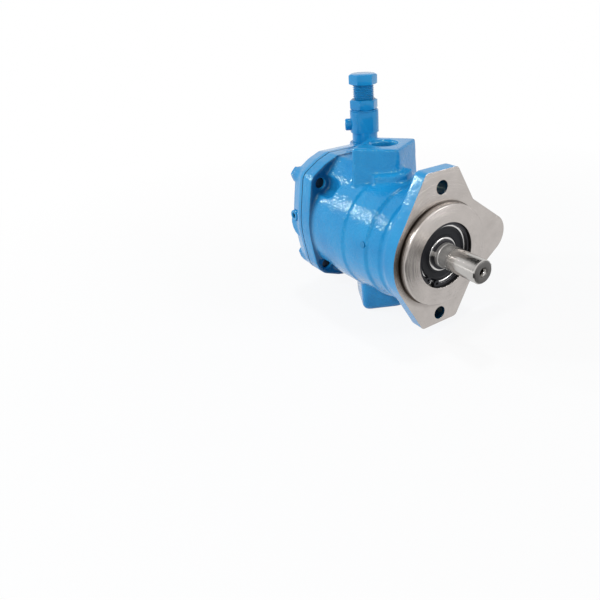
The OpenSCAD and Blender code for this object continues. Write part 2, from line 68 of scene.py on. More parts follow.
# shader maths: Sock wraps a socket so that sums on it read as plain maths
class Sock:
    def __init__(self, look, socket):
        self.look, self.socket = look, socket

    def work(self, how, other, turned=False):
        first, second = (other, self) if turned else (self, other)
        return self.look.node("ShaderNodeMath", {"operation": how}, {0: first, 1: second})

    def __add__(self, other): return self.work("ADD", other)
    def __radd__(self, other): return self.work("ADD", other, True)
    def __sub__(self, other): return self.work("SUBTRACT", other)
    def __rsub__(self, other): return self.work("SUBTRACT", other, True)
    def __mul__(self, other): return self.work("MULTIPLY", other)
    def __rmul__(self, other): return self.work("MULTIPLY", other, True)
    def __pow__(self, other): return self.work("POWER", other)


class Look:
    def __init__(self, name, owner=None):  # a new material, or another owner of nodes
        self.material = owner or bpy.data.materials.new(name)
        self.material.use_nodes = True
        self.tree = self.material.node_tree
        self.tree.nodes.clear()
        self.coords = None if owner else self.node("ShaderNodeTexCoord", output="Object")

    def node(self, kind, settings=None, inputs=None, output=0):
        made = self.tree.nodes.new(kind)
        for key, value in (settings or {}).items():
            setattr(made, key, value)
        for key, value in (inputs or {}).items():
            if isinstance(value, Sock):
                self.tree.links.new(value.socket, made.inputs[key])
            else:
                made.inputs[key].default_value = value
        return Sock(self, made.outputs[output])

    def noise(self, scale, detail=2.0, rough=0.5, at=None):
        return self.node("ShaderNodeTexNoise", {}, {"Vector": at or self.coords, "Scale": scale,
                                                    "Detail": detail, "Roughness": rough})

    def mix(self, share, first, second):
        return self.node("ShaderNodeMix", {"data_type": "RGBA"}, {0: share, 6: first, 7: second}, 2)

    def band(self, value, low, high):  # 0 below low, 1 above high
        return self.node("ShaderNodeMapRange", {"clamp": True},
                         {"Value": value, "From Min": low, "From Max": high})

    def gap(self, value, middle):  # how far a value lies from another
        return self.node("ShaderNodeMath", {"operation": "ABSOLUTE"}, {0: value - middle})

    def along(self, axis):
        return self.node("ShaderNodeSeparateXYZ", {}, {0: self.coords}, axis)

    def radius(self, first="X", second="Z"):
        flat = self.node("ShaderNodeCombineXYZ", {}, {0: self.along(first), 1: self.along(second)})
        return self.node("ShaderNodeVectorMath", {"operation": "LENGTH"}, {0: flat}, "Value")

    def seen(self):  # 1 for the rays that show a surface, 0 for those that light others
        rays = [self.node("ShaderNodeLightPath", output=ray)
                for ray in ("Is Camera Ray", "Is Glossy Ray", "Is Transmission Ray")]
        return self.node("ShaderNodeMath", {"operation": "ADD", "use_clamp": True},
                         {0: rays[0] + rays[1], 1: rays[2]})

    def bump(self, height, strength, distance):
        return self.node("ShaderNodeBump", {}, {"Height": height, "Strength": strength,
                                                "Distance": distance})

    def show(self, shader, kind="ShaderNodeOutputMaterial"):
        out = self.tree.nodes.new(kind)
        self.tree.links.new(shader.socket, out.inputs[0])
        return self.material

    def finish(self, **values):
        names = {"colour": "Base Color", "rough": "Roughness", "metal": "Metallic",
                 "normal": "Normal", "specular": "Specular IOR Level", "tint": "Specular Tint"}
        inputs = {names[key]: value for key, value in values.items()}
        return self.show(self.node("ShaderNodeBsdfPrincipled", {}, inputs))


def darker(tone, share):
    return tuple(c * share for c in tone[:3]) + (1,)


# blue enamel; sand is how rough the casting under it is. Lengths in the looks are in metres,
# and a size is that of a noise, in waves per metre
paint = {"colour": (0.014, 0.290, 0.630, 1), "deep": (0.008, 0.230, 0.550, 1),
         "pale": (0.060, 0.400, 0.740, 1), "recessShade": (0.003, 0.060, 0.190, 1),
         "sheen": (0.75, 1, 0.65, 1), "rough": 0.04, "roughGrain": 0.10, "roughCloud": 0.06,
         "sandSize": 520, "waveSize": 170, "peelSize": 2300, "cloudSize": 38,
         "sand": 0.9, "peel": 0.03, "bump": 0.7, "sandDepth": 0.0006,
         "smoothEnd": 0.012, "sandStart": 0.024, "flangeSand": 0.3,
         "corner": (0.0990, 0.1064), "recessShadeEnd": (0.1071, 0.1078), "recessShadeShare": 0.9}


def bluePaint(name, sand=1.0, shade=1.0, gloss=0.42, housing=False):
    look = Look(name)
    colour, deep, pale = (darker(paint[k], shade) for k in ("colour", "deep", "pale"))
    grain = look.noise(paint["sandSize"], 3.0, 0.6)
    cloud = look.noise(paint["cloudSize"], 3.0, 0.55)
    colour = look.mix(look.band(cloud, 0.35, 0.7), colour, deep)
    colour = look.mix(look.band(grain, 0.6, 0.85) * 0.35 * sand, colour, pale)
    depth = sand
    if housing:  # painted shade: darker paint in the corner before the rear flange; a smoother front flange
        y = look.along("Y")
        rise = look.band(y, paint["smoothEnd"], paint["sandStart"])
        depth = paint["flangeSand"] + (1 - paint["flangeSand"]) * rise
        # painted shade: the paint darkens towards the rear flange's front face
        corner = look.band(y, *paint["corner"]) * (1 - look.band(y, *paint["recessShadeEnd"]))
        colour = look.mix(corner ** 1.6 * paint["recessShadeShare"], colour, paint["recessShade"])
    rough = paint["rough"] + paint["roughGrain"] * grain + paint["roughCloud"] * cloud
    sandHeight = look.noise(paint["sandSize"], 1.0) + look.noise(paint["waveSize"], 2.0)
    peelHeight = look.noise(paint["peelSize"], 1.0) * paint["peel"]
    height = sandHeight * paint["sand"] * depth + peelHeight
    return look.finish(colour=colour, rough=rough, specular=gloss, tint=paint["sheen"],
                       normal=look.bump(height, paint["bump"], paint["sandDepth"]))


# turned iron: fine rings about the shaft's axis, with a few small pores
iron = {"colour": (0.50, 0.465, 0.44, 1), "dull": (0.33, 0.305, 0.285, 1), "rough": 0.16,
        "pilotShade": (0.10, 0.080, 0.066, 1), "ringDepth": 0.0006, "ringBump": 0.30,
        "ringSize": 4200, "waveSize": 420, "spotSize": 60, "poreSize": 1500,
        "pilotR": 0.0413, "pilotShadeWidth": 0.0055, "shadowLineR": 0.0418, "shadowLineWidth": (0.0008, 0.0003),
        "pilotShadeX": (0.012, -0.034), "pilotShadeY": (-0.0036, -0.0010), "pilotShadeShare": 0.7}


def turnedIron(name, pores=1.0, rings=1.0, foot=False):
    look = Look(name)
    r, y = look.radius(), look.along("Y")
    line = look.node("ShaderNodeCombineXYZ", {}, {0: r, 1: y * 0.4})
    fine = look.noise(iron["ringSize"], 2.0, 0.6, line)
    broad = look.noise(iron["waveSize"], 3.0, 0.6, line)
    spots = look.noise(iron["spotSize"], 4.0, 0.6)
    pits = look.band(look.noise(iron["poreSize"], 2.0), 0.70, 0.78) * pores
    dull = look.band(spots, 0.38, 0.72) * 0.35 + pits * 0.6
    colour = look.mix(dull, iron["colour"], iron["dull"])
    if foot:  # painted shade and painted dark reflection at the foot of the pilot, mostly on its left side, with a thin painted shadow line at the tool's run-out round its base
        footShade = look.band(look.gap(r, iron["pilotR"]), iron["pilotShadeWidth"], 0.0)
        leftShade = look.band(look.along("X"), *iron["pilotShadeX"])
        shadowLine = look.band(look.gap(r, iron["shadowLineR"]), *iron["shadowLineWidth"])
        deep = look.band(y, *iron["pilotShadeY"])
        colour = look.mix((footShade * leftShade + shadowLine) * iron["pilotShadeShare"] * deep, colour, iron["pilotShade"])
    rough = iron["rough"] + 0.10 * broad + 0.06 * spots
    height = fine * rings + broad * 1.4 * rings - pits * 2.0
    return look.finish(colour=colour, rough=rough, metal=1.0,
                       normal=look.bump(height, iron["ringBump"], iron["ringDepth"]))


# plain steels: tone, roughness and how strongly the turning lines and the smudges show
steel = {"lineSize": 3600, "cloudSize": 90, "dark": 0.7, "bump": 0.25, "lineDepth": 0.00004,
         "roughCloud": 0.06, "roughLine": 0.05}


def plainSteel(name, tone, rough, lines=0.5, smudge=0.2):
    look = Look(name)
    line = look.node("ShaderNodeCombineXYZ", {}, {0: look.radius() * 0.6, 1: look.along("Y")})
    fine = look.noise(steel["lineSize"], 2.0, 0.6, line)
    cloud = look.noise(steel["cloudSize"], 3.0, 0.6)
    colour = look.mix(look.band(cloud, 0.4, 0.75) * smudge, tone, darker(tone, steel["dark"]))
    rough = rough + steel["roughCloud"] * cloud + steel["roughLine"] * fine
    return look.finish(colour=colour, rough=rough, metal=1.0,
                       normal=look.bump(fine, steel["bump"] * lines, steel["lineDepth"]))


# the shaft: ground round its axis, and less polished near the bearing
ground = {"lineSize": 5200, "cloudSize": 90, "dark": 0.75, "smudge": 0.3, "rough": 0.07,
          "roughCloud": 0.05, "roughFoot": 0.28, "dullFoot": 0.45, "foot": (-0.024, -0.010),
          "bump": 0.5, "lineDepth": 0.00005}


def groundShaft(name, tone):
    look = Look(name)
    line = look.node("ShaderNodeCombineXYZ", {}, {1: look.along("Y")})
    fine = look.noise(ground["lineSize"], 2.0, 0.7, line)
    cloud = look.noise(ground["cloudSize"], 3.0, 0.6)
    dark = look.band(cloud, 0.4, 0.75) * ground["smudge"]
    colour = look.mix(dark, tone, darker(tone, ground["dark"]))
    foot = look.band(look.along("Y"), *ground["foot"])
    rough = ground["rough"] + ground["roughCloud"] * cloud + ground["roughFoot"] * foot
    return look.finish(colour=colour, rough=rough, metal=1 - ground["dullFoot"] * foot,
                       normal=look.bump(fine, ground["bump"], ground["lineDepth"]))


rubber = {"colour": (0.005, 0.006, 0.009, 1), "worn": (0.012, 0.013, 0.017, 1), "rough": 0.36,
          "grainSize": 1400, "cloudSize": 120, "grainDepth": 0.00008}


def rubberLook(name):
    look = Look(name)
    grain = look.noise(rubber["grainSize"], 2.0)
    cloud = look.noise(rubber["cloudSize"], 3.0)
    colour = look.mix(look.band(cloud, 0.45, 0.8), rubber["colour"], rubber["worn"])
    return look.finish(colour=colour, rough=rubber["rough"] + 0.12 * cloud, specular=0.22,
                       normal=look.bump(grain, 0.25, rubber["grainDepth"]))


fibre = {"colour": (0.003, 0.010, 0.024, 1), "pale": (0.006, 0.020, 0.045, 1), "rough": 0.8,
         "strandSize": 900, "strandDepth": 0.0001}


def fibreLook(name):
    look = Look(name)
    strands = look.noise(fibre["strandSize"], 3.0, 0.7)
    colour = look.mix(strands, fibre["colour"], fibre["pale"])
    return look.finish(colour=colour, rough=fibre["rough"], specular=0.08,
                       normal=look.bump(strands, 0.3, fibre["strandDepth"]))


looks = {
    "castPaint": bluePaint("castPaint", 0.5),
    "housingPaint": bluePaint("housingPaint", housing=True),
    "smoothPaint": bluePaint("smoothPaint", 0.12),
    "wetPaint": bluePaint("wetPaint", 0.3, 1.0, 1.0),
    # painted shade for the insides of holes: a near-black paint
    "holeShadePaint": bluePaint("holeShadePaint", 0.6, 0.07, 0.1),
    "dullPaint": bluePaint("dullPaint", 1.0, 0.8),
    "threadRootShade": bluePaint("threadRootShade", 0.2, 0.85, 0.6),
    # painted shade for the bearing's bore: a near-black iron
    "boreShadeIron": plainSteel("boreShadeIron", (0.11, 0.105, 0.10, 1), 0.42, 0.3),
    "turnedFace": turnedIron("turnedFace", foot=True),
    "bareIron": turnedIron("bareIron", 1.0, 0.4),
    "shaftSteel": groundShaft("shaftSteel", (0.50, 0.485, 0.465, 1)),
    "endSteel": plainSteel("endSteel", (0.14, 0.135, 0.13, 1), 0.36, 0.8),
    "groundSteel": plainSteel("groundSteel", (0.62, 0.61, 0.60, 1), 0.16, 0.3),
    "raceSteel": plainSteel("raceSteel", (0.66, 0.65, 0.64, 1), 0.14, 0.4),
    "cageSteel": plainSteel("cageSteel", (0.50, 0.49, 0.47, 1), 0.35, 0.2),
    "springSteel": plainSteel("springSteel", (0.30, 0.29, 0.28, 1), 0.38, 0.2),
    "ringSteel": plainSteel("ringSteel", (0.045, 0.045, 0.05, 1), 0.36, 0.2, 0.4),
    "bronze": plainSteel("bronze", (0.56, 0.33, 0.14, 1), 0.32, 0.5),
    "rubber": rubberLook("rubber"),
    "gasketFibre": fibreLook("gasketFibre"),
}
print("materials made")


# ways of making meshes that several pieces share
runOut = 6


def cadCopy(node, flat=0.6):
    bm = bmesh.new()
    bm.from_mesh(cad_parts[node].data)
    bmesh.ops.remove_doubles(bm, verts=bm.verts, dist=2e-6)
    if flat:
        bmesh.ops.dissolve_limit(bm, angle_limit=math.radians(flat), verts=bm.verts, edges=bm.edges)
    return bm


def roundEdges(bm, width, segments=2, sharp=30, keep=None):
    edges = [e for e in bm.edges if len(e.link_faces) == 2 and not e.is_wire
             and e.calc_face_angle(0) > math.radians(sharp) and (keep is None or keep(e))]
    bmesh.ops.bevel(bm, geom=edges, offset=width * mm, offset_type="OFFSET", segments=segments,
                    profile=0.5, affect="EDGES", clamp_overlap=True, material=-1)


def makePiece(name, bm, body, materials, replaces=(), sharp=35):
    # edges sharper than this many degrees stay hard
    limit = math.radians(sharp)
    for f in bm.faces:
        f.smooth = True
    for e in bm.edges:
        e.smooth = len(e.link_faces) == 2 and e.calc_face_angle(0) < limit
    mesh = bpy.data.meshes.new(name)
    bm.to_mesh(mesh)
    bm.free()
    if "custom_normal" in mesh.attributes:
        mesh.attributes.remove(mesh.attributes["custom_normal"])
    for m in materials:
        mesh.materials.append(looks[m])
    piece = bpy.data.objects.new(name, mesh)
    scene.collection.objects.link(piece)
    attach(piece, body)
    if replaces:
        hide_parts(*replaces)


def modified(bm, kind, settings, tool=None):
    # runs one modifier on a mesh and gives back the result
    made = []
    for source in (bm, tool):
        if source:
            mesh = bpy.data.meshes.new("work")
            source.to_mesh(mesh)
            source.free()
            obj = bpy.data.objects.new("work", mesh)
            scene.collection.objects.link(obj)
            made.append(obj)
    mod = made[0].modifiers.new("work", kind)
    for key, value in settings.items():
        setattr(mod, key, value)
    if tool:
        mod.object = made[1]
    bpy.context.view_layer.update()
    ready = made[0].evaluated_get(bpy.context.evaluated_depsgraph_get())
    out = bmesh.new()
    out.from_mesh(ready.data)
    for obj in made:
        mesh = obj.data
        bpy.data.objects.remove(obj)
        bpy.data.meshes.remove(mesh)
    return out


def carve(bm, tool, how):
    return modified(bm, "BOOLEAN", {"operation": how, "solver": "EXACT"}, tool)


def castSkin(bm, voxel, rounds, tris, limit=None):
    # a cast surface: remeshed, then smoothed so that every corner gets its fillet;
    # limit gives a place its own number of rounds
    bm = modified(bm, "REMESH", {"mode": "VOXEL", "voxel_size": voxel * mm, "adaptivity": 0.0})
    most = {v: limit(v.co) if limit else rounds for v in bm.verts}
    for i in range(rounds):
        verts = [v for v in bm.verts if i < most[v]]
        bmesh.ops.smooth_vert(bm, verts=verts, factor=0.5, use_axis_x=True, use_axis_y=True,
                              use_axis_z=True)
    count = 2 * len(bm.faces)
    if count > tris:
        bm = modified(bm, "DECIMATE", {"decimate_type": "COLLAPSE", "ratio": tris / count})
    return bm


def cutFlat(bm, normal, distance):
    # keeps what lies behind a plane, given in millimetres along an axis, and closes the cut
    normal = Vector(normal)
    place = Vector([abs(n) for n in normal]) * distance * mm
    cut = bmesh.ops.bisect_plane(bm, geom=bm.verts[:] + bm.edges[:] + bm.faces[:], dist=1e-7,
                                 plane_co=place, plane_no=normal, clear_outer=True)
    rim = [e for e in cut["geom_cut"] if isinstance(e, bmesh.types.BMEdge)]
    bmesh.ops.triangle_fill(bm, edges=rim, use_beauty=True, use_dissolve=True, normal=normal)


def pushEnds(bm, low, high):
    # machined planes run past their places, and are cut back after the smoothing
    for v in bm.verts:
        if v.co.y < low * mm:
            v.co.y -= runOut * mm
        elif v.co.y > high * mm:
            v.co.y += runOut * mm


def turned(points, axis="y", centre=(0, 0), steps=72):
    # a ring from a closed outline of (radius, height), in millimetres
    def at(r, h):
        a, b = centre[0] + r, centre[1]
        return Vector((a, h, b) if axis == "y" else (a, b, h)) * mm

    bm = bmesh.new()
    verts = [bm.verts.new(at(r, h)) for r, h in points]
    edges = [bm.edges.new((a, b)) for a, b in zip(verts, verts[1:] + verts[:1])]
    line = (0, 1, 0) if axis == "y" else (0, 0, 1)
    bmesh.ops.spin(bm, geom=verts + edges, cent=at(0, 0), axis=line, dvec=(0, 0, 0),
                   angle=math.tau, steps=steps, use_merge=True, use_duplicate=False)
    bmesh.ops.remove_doubles(bm, verts=bm.verts, dist=1e-6)
    bmesh.ops.recalc_face_normals(bm, faces=bm.faces)
    return bm


def joined(first, other):
    mesh = bpy.data.meshes.new("work")
    other.to_mesh(mesh)
    other.free()
    first.from_mesh(mesh)
    bpy.data.meshes.remove(mesh)
    return first


def threadTeeth(inner, outer, start, end, pitch):
    # the zigzag of a threaded bore, from start down to end
    points, h = [], start
    while start - h < start - end - pitch:
        points += [(inner, h - 0.15 * pitch), (outer, h - 0.5 * pitch), (inner, h - 0.85 * pitch)]
        h -= pitch
    return points


# housing: sand-cast and painted, with a machined front. Rounds are rounds of smoothing
housing = {"voxel": 0.8, "rounds": 8, "footRounds": 26, "holeRounds": 2, "stepRounds": 4,
           "tris": 190000, "frontY": 0.7, "cutY": 0.75, "lap": 0.05, "rearY": 119.75, "endY": 119.9,
           "edge": 0.16, "boltR": 5.55, "boltZ": 53.2, "boltDepth": 12.6,
           "boltZoneR": 7.5, "boltZoneY": 13, "pilotZoneR": 43, "boreZoneR": 27.6,
           "screws": ((-39, 39.3), (39, 39.3), (-38, -36), (38, -36)),
           "screwShadeR": 4.4, "screwShadeY": 106.9, "screwZoneR": 6.5, "screwZoneY": 104,
           "steps": ((17.5, 1.6), (32, 1.8), (60.2, 2.2)), "stepR": 53.4,
           "footX": 36, "footY": (30, 100), "footZ": (40, 62)}
drain = {"place": (0, 69), "top": 74.03, "low": 59, "zoneR": 13.2, "zoneZ": 60,
         "outerR": 13.3, "mouthR": 11.6, "boreR": 10.3, "crestR": 11.0, "pitch": 1.4}


def fromBolt(x, z):
    return math.hypot(x, abs(z) - housing["boltZ"])


def fromScrew(x, z):
    return min(math.hypot(x - a, z - b) for a, b in housing["screws"])


def housingRounds(co):
    # few rounds at the machined holes and at the steps of the barrel, which stay crisp
    x, y, z = co.x / mm, co.y / mm, co.z / mm
    atBolt = y < housing["boltZoneY"] and fromBolt(x, z) < housing["boltZoneR"]
    atScrew = y > housing["screwZoneY"] and fromScrew(x, z) < housing["screwZoneR"]
    atDrain = z > drain["zoneZ"] and math.hypot(x, y - drain["place"][1]) < drain["zoneR"]
    if atBolt or atScrew or atDrain:
        return housing["holeRounds"]
    if math.hypot(x, z) < housing["stepR"] and any(abs(y - m) < w for m, w in housing["steps"]):
        return housing["stepRounds"]
    (front, rear), (low, high) = housing["footY"], housing["footZ"]
    if low < z < high and front < y < rear and abs(x) < housing["footX"]:
        return housing["footRounds"]
    return housing["rounds"]


def makeHousing():
    bm = cadCopy("housing", 0)
    pushEnds(bm, housing["frontY"], housing["endY"])
    bm = castSkin(bm, housing["voxel"], housing["footRounds"], housing["tris"], housingRounds)
    cutFlat(bm, (0, -1, 0), housing["cutY"])
    cutFlat(bm, (0, 1, 0), housing["rearY"])
    for f in bm.faces:  # painted shade: near-black paint in the bolt holes and the screw holes
        x, y, z = f.calc_center_median() / mm
        inBolt = y < housing["boltDepth"] and fromBolt(x, z) < housing["boltR"] + 0.5
        inScrew = y > housing["screwShadeY"] and fromScrew(x, z) < housing["screwShadeR"]
        f.material_index = 1 if inBolt or inScrew else 0
    makePiece("housingCasting", bm, "pump_body", ["housingPaint", "holeShadePaint"], ["housing"], 50)

    bm = cadCopy("housing", 0.4)
    cutFlat(bm, (0, 1, 0), housing["cutY"] + housing["lap"])
    roundEdges(bm, housing["edge"], 2, 40,
               lambda e: min(v.co.y for v in e.verts) < (housing["cutY"] - 0.15) * mm)
    for f in bm.faces:  # the paint starts at the flange's edge; painted shade: near-black paint in the bolt holes and darker iron in the bearing's bore
        x, y, z = f.calc_center_median() / mm
        away = math.hypot(x, z)
        f.material_index = 0
        if abs(f.normal.y) < 0.6 and away > housing["pilotZoneR"]:
            f.material_index = 2 if fromBolt(x, z) < housing["boltR"] + 0.2 else 1
        elif abs(f.normal.y) < 0.6 and away < housing["boreZoneR"]:
            f.material_index = 3
    makePiece("housingFace", bm, "pump_body", ["turnedFace", "castPaint", "holeShadePaint", "boreShadeIron"],
              ["housing"], 20)

    outer, mouth, bore = drain["outerR"], drain["mouthR"], drain["boreR"]
    low, top = drain["low"], drain["top"]
    teeth = threadTeeth(bore, drain["crestR"], top - 2.2, low + 2, drain["pitch"])
    ring = turned([(outer, low), (outer, top - 0.25), (outer - 0.25, top), (mouth + 0.3, top),
                   (mouth, top - 0.3), (mouth, top - 1.3), (bore + 0.4, top - 1.3),
                   (bore, top - 1.9)] + teeth + [(bore, low)], "z", drain["place"], 64)
    makePiece("drainPort", ring, "pump_body", ["wetPaint"], ["housing"], 35)
    print("housing made")


# rear cover: the cast valve block with two machined port faces
cover = {"voxel": 0.8, "rounds": 7, "tris": 170000, "startY": 120.6, "frontY": 120.75,
         "cutY": 152.2, "endY": 151.9, "screwShadeY": 139}
ports = {"faceY": 153.0, "rootY": 135.5, "pitch": 1.8, "outlet": (18, 10.3, 27),
         "inlet": (20, 12.6, -29)}


def portRing(bossR, boreR, z):
    face, root, rim = ports["faceY"], ports["rootY"], bossR - 0.3
    teeth = threadTeeth(boreR, boreR + 0.8, face - 2.2, root + 1.5, ports["pitch"])
    return turned([(rim, root), (rim, face - 0.25), (rim - 0.25, face), (boreR + 2.2, face),
                   (boreR + 0.9, face - 1.3), (boreR, face - 1.9)] + teeth + [(boreR, root)],
                  "y", (0, z), 72)


def makeCover():
    bm = cadCopy("rear_cover", 0)
    pushEnds(bm, cover["startY"], cover["endY"])
    bm = castSkin(bm, cover["voxel"], cover["rounds"], cover["tris"])
    cutFlat(bm, (0, -1, 0), cover["frontY"])
    cutFlat(bm, (0, 1, 0), cover["cutY"])
    makePiece("rearCoverCasting", bm, "pump_body", ["castPaint"], ["rear_cover"], 50)
    outlet, inlet = portRing(*ports["outlet"]), portRing(*ports["inlet"])
    makePiece("portFaces", joined(outlet, inlet), "pump_body", ["bareIron"], ["rear_cover"], 35)
    bm = cadCopy("cover_screws")
    roundEdges(bm, 0.35, 2)
    for f in bm.faces:  # the threaded ends are bare steel, made near black as painted shade deep in the screw holes
        f.material_index = 1 if f.calc_center_median().y < cover["screwShadeY"] * mm else 0
    makePiece("coverScrews", bm, "pump_body", ["smoothPaint", "ringSteel"], ["cover_screws"])
    bm = cadCopy("cover_side_plug")
    roundEdges(bm, 0.3, 2)
    makePiece("coverSidePlug", bm, "pump_body", ["smoothPaint"], ["cover_side_plug"])
    print("rear cover made")


# pressure compensator and its adjuster, in millimetres about its own axis
adjuster = {"x": 29.2, "y": 135, "pitch": 1.5875, "crest": 9.5, "root": 8.4, "headAf": 22.2,
            "headTurn": 30.5, "headZ": (110.2, 119.1), "nutAf": 22.2, "nutTurn": 37.7,
            "nutZ": (88.24, 97.24), "nutBore": 9.58, "nutLead": 0.9, "coneAngle": 32,
            "coneTop": 0.97, "rootShadeR": (2, 8.95)}


def hexNut(af, low, high, turn, bore=0, top=1.0, bottom=1.0):
    # a hexagon whose corners are turned off by a cone, as on a real nut
    centre = Matrix.Translation(Vector((adjuster["x"], adjuster["y"], low)) * mm)
    bm = bmesh.new()
    bmesh.ops.create_circle(bm, segments=6, radius=af / math.sqrt(3) * mm, cap_ends=True,
                            matrix=centre @ Matrix.Rotation(math.radians(turn + 30), 4, "Z"))
    side = bmesh.ops.extrude_face_region(bm, geom=bm.faces[:])["geom"]
    bmesh.ops.translate(bm, verts=[v for v in side if isinstance(v, bmesh.types.BMVert)],
                        vec=(0, 0, (high - low) * mm))
    bmesh.ops.recalc_face_normals(bm, faces=bm.faces)
    flat, corner = af / 2 * adjuster["coneTop"], af / math.sqrt(3) + 0.2
    drop = (corner - flat) * math.tan(math.radians(adjuster["coneAngle"]))
    place = (adjuster["x"], adjuster["y"])
    cone = turned([(0, low), (flat, low), (corner, low + drop * bottom),
                   (corner, high - drop * top), (flat, high), (0, high)], "z", place, 96)
    bmesh.ops.remove_doubles(cone, verts=cone.verts, dist=1e-5)
    bm = carve(bm, cone, "INTERSECT")
    if bore:
        lead = adjuster["nutLead"]
        wide = bore + lead
        hole = turned([(0, low - 1), (wide, low - 1), (wide, low), (bore, low + lead),
                       (bore, high - lead), (wide, high), (wide, high + 1), (0, high + 1)],
                      "z", place, 64)
        bm = carve(bm, hole, "DIFFERENCE")
    bmesh.ops.remove_doubles(bm, verts=bm.verts, dist=2e-6)
    bmesh.ops.dissolve_limit(bm, angle_limit=math.radians(0.5), verts=bm.verts, edges=bm.edges)
    return bm


def screwThread(low, high, steps=48):
    # one zigzag column spun a full turn while it rises by one pitch
    bm = bmesh.new()
    p, x, y = adjuster["pitch"], adjuster["x"], adjuster["y"]
    count = int((high - low) / p) + 4
    verts = []
    tooth = ((adjuster["root"], 0.0), (adjuster["root"], 0.12), (adjuster["crest"], 0.5),
             (adjuster["crest"], 0.62))
    for i in range(count):
        z = low - 2 * p + i * p
        verts += [bm.verts.new(Vector((x + r, y, z + share * p)) * mm) for r, share in tooth]
    edges = [bm.edges.new(pair) for pair in zip(verts, verts[1:])]
    bmesh.ops.spin(bm, geom=verts + edges, cent=Vector((x, y, 0)) * mm, axis=(0, 0, 1),
                   dvec=(0, 0, p * mm / steps), angle=math.tau, steps=steps, use_merge=False,
                   use_duplicate=False)
    bmesh.ops.remove_doubles(bm, verts=bm.verts, dist=3e-6)
    bmesh.ops.recalc_face_normals(bm, faces=bm.faces)
    cutFlat(bm, (0, 0, 1), high)
    cutFlat(bm, (0, 0, -1), low)
    return bm


def makeCompensator():
    bm = cadCopy("compensator_body")
    roundEdges(bm, 0.4, 3, 24)
    makePiece("compensatorBody", bm, "pump_body", ["smoothPaint"], ["compensator_body"])
    bm = cadCopy("compensator_side_plug")
    roundEdges(bm, 0.5, 3)
    makePiece("compensatorSidePlug", bm, "pump_body", ["smoothPaint"], ["compensator_side_plug"])
    bm = cadCopy("lock_nut_washer")
    roundEdges(bm, 0.2, 2)
    makePiece("nutWasher", bm, "nut_washer", ["smoothPaint"], ["lock_nut_washer"])
    nut = hexNut(adjuster["nutAf"], *adjuster["nutZ"], adjuster["nutTurn"], adjuster["nutBore"])
    roundEdges(nut, 0.2, 2, 40)
    makePiece("lockNut", nut, "nut", ["smoothPaint"], ["lock_nut"])
    head = hexNut(adjuster["headAf"], *adjuster["headZ"], adjuster["headTurn"], 0, 1.0, 0.3)
    roundEdges(head, 0.3, 2, 40)
    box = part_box("adjusting_screw")
    screw = joined(head, screwThread(box[0][2] / mm + 0.4, adjuster["headZ"][0] + 0.3))
    low, high = adjuster["rootShadeR"]
    for f in screw.faces:  # painted shade in the roots of the thread, where little light and paint reach
        x, y, z = f.calc_center_median() / mm
        away = math.hypot(x - adjuster["x"], y - adjuster["y"])
        f.material_index = 1 if low < away < high and z < adjuster["headZ"][0] else 0
    makePiece("adjustingScrew", screw, "compensator_screw", ["smoothPaint", "threadRootShade"],
              ["adjusting_screw"])
    print("compensator made")


# front ball bearing, its seals and the two retaining rings
bearing = {"ringTurn": 122, "frontY": -1.95, "rearY": 12.25, "sealIn": 13.9, "sealOut": 22.15}
bearingParts = (("bearing_outer_race", "outerRace", "raceSteel", 0.55, "pump_body"),
                ("bore_retaining_ring", "boreRing", "ringSteel", 0.2, "pump_body"),
                ("bearing_inner_race", "innerRace", "raceSteel", 0.5, "rotating_group"),
                ("shaft_retaining_ring", "shaftRing", "ringSteel", 0.15, "rotating_group"))


def sealRing(front, way):
    # pressed rubber with a raised rib near each rim; way is the direction out of the bearing
    a, b = bearing["sealIn"], bearing["sealOut"]
    outline = [(a, 0.0), (a, 0.62), (a + 0.5, 0.95), (a + 1.3, 0.95), (a + 1.7, 0.45),
               (a + 2.6, 0.3), (b - 2.6, 0.3), (b - 1.9, 0.5), (b - 1.5, 0.92), (b - 0.7, 0.92),
               (b, 0.55), (b, 0.0)]
    return turned([(r, front + way * (h - 1)) for r, h in outline], "y", (0, 0), 120)


def makeBearing():
    for node, name, look, width, body in bearingParts:
        bm = cadCopy(node)
        if name == "boreRing":  # it can sit at any angle in its groove, and its lugs show low
            turn = Matrix.Rotation(math.radians(bearing["ringTurn"]), 3, "Y")
            bmesh.ops.rotate(bm, cent=(0, 0, 0), matrix=turn, verts=bm.verts)
        roundEdges(bm, width, 3)
        makePiece(name, bm, body, [look], [node])
    seals = joined(sealRing(bearing["frontY"], -1), sealRing(bearing["rearY"], 1))
    makePiece("bearingSeals", seals, "pump_body", ["rubber"], ["bearing_seals"])
    print("bearing made")


# drive shaft and key
shaft = {"edge": 0.22, "keyEdge": 0.3, "endY": -43.7}


def makeShaft():
    bm = cadCopy("shaft")
    roundEdges(bm, shaft["edge"], 2)
    for f in bm.faces:  # the sawn and centred end is rougher
        f.material_index = 1 if f.calc_center_median().y < shaft["endY"] * mm else 0
    makePiece("driveShaft", bm, "rotating_group", ["shaftSteel", "endSteel"], ["shaft"])
    bm = cadCopy("shaft_key")
    roundEdges(bm, shaft["keyEdge"], 3)
    makePiece("shaftKey", bm, "rotating_group", ["groundSteel"], ["shaft_key"])
    print("shaft made")


# the CAD nodes that stay, with their finishes
nodeLooks = {
    "gasketFibre": ["cover_gasket"],
    "rubber": ["shaft_seal"],
    "raceSteel": ["bearing_balls", "rear_bearing_cup", "rear_bearing_rollers"],
    "cageSteel": ["bearing_cage", "rear_bearing_cage", "shoe_plate", "yoke_spring_seat"],
    "springSteel": ["yoke_spring", "block_spring", "compensator_spring"],
    "groundSteel": ["pintle_pins", "wear_plate", "control_piston", "compensator_spool",
                    "spring_seat", "block_push_pins", "block_spring_washer", "spherical_washer",
                    "pintle_bearings"],
    "bareIron": ["yoke", "cylinder_block"],
    "dullPaint": ["housing_side_plug", "compensator_oring"],
    "bronze": ["port_plate"],
}


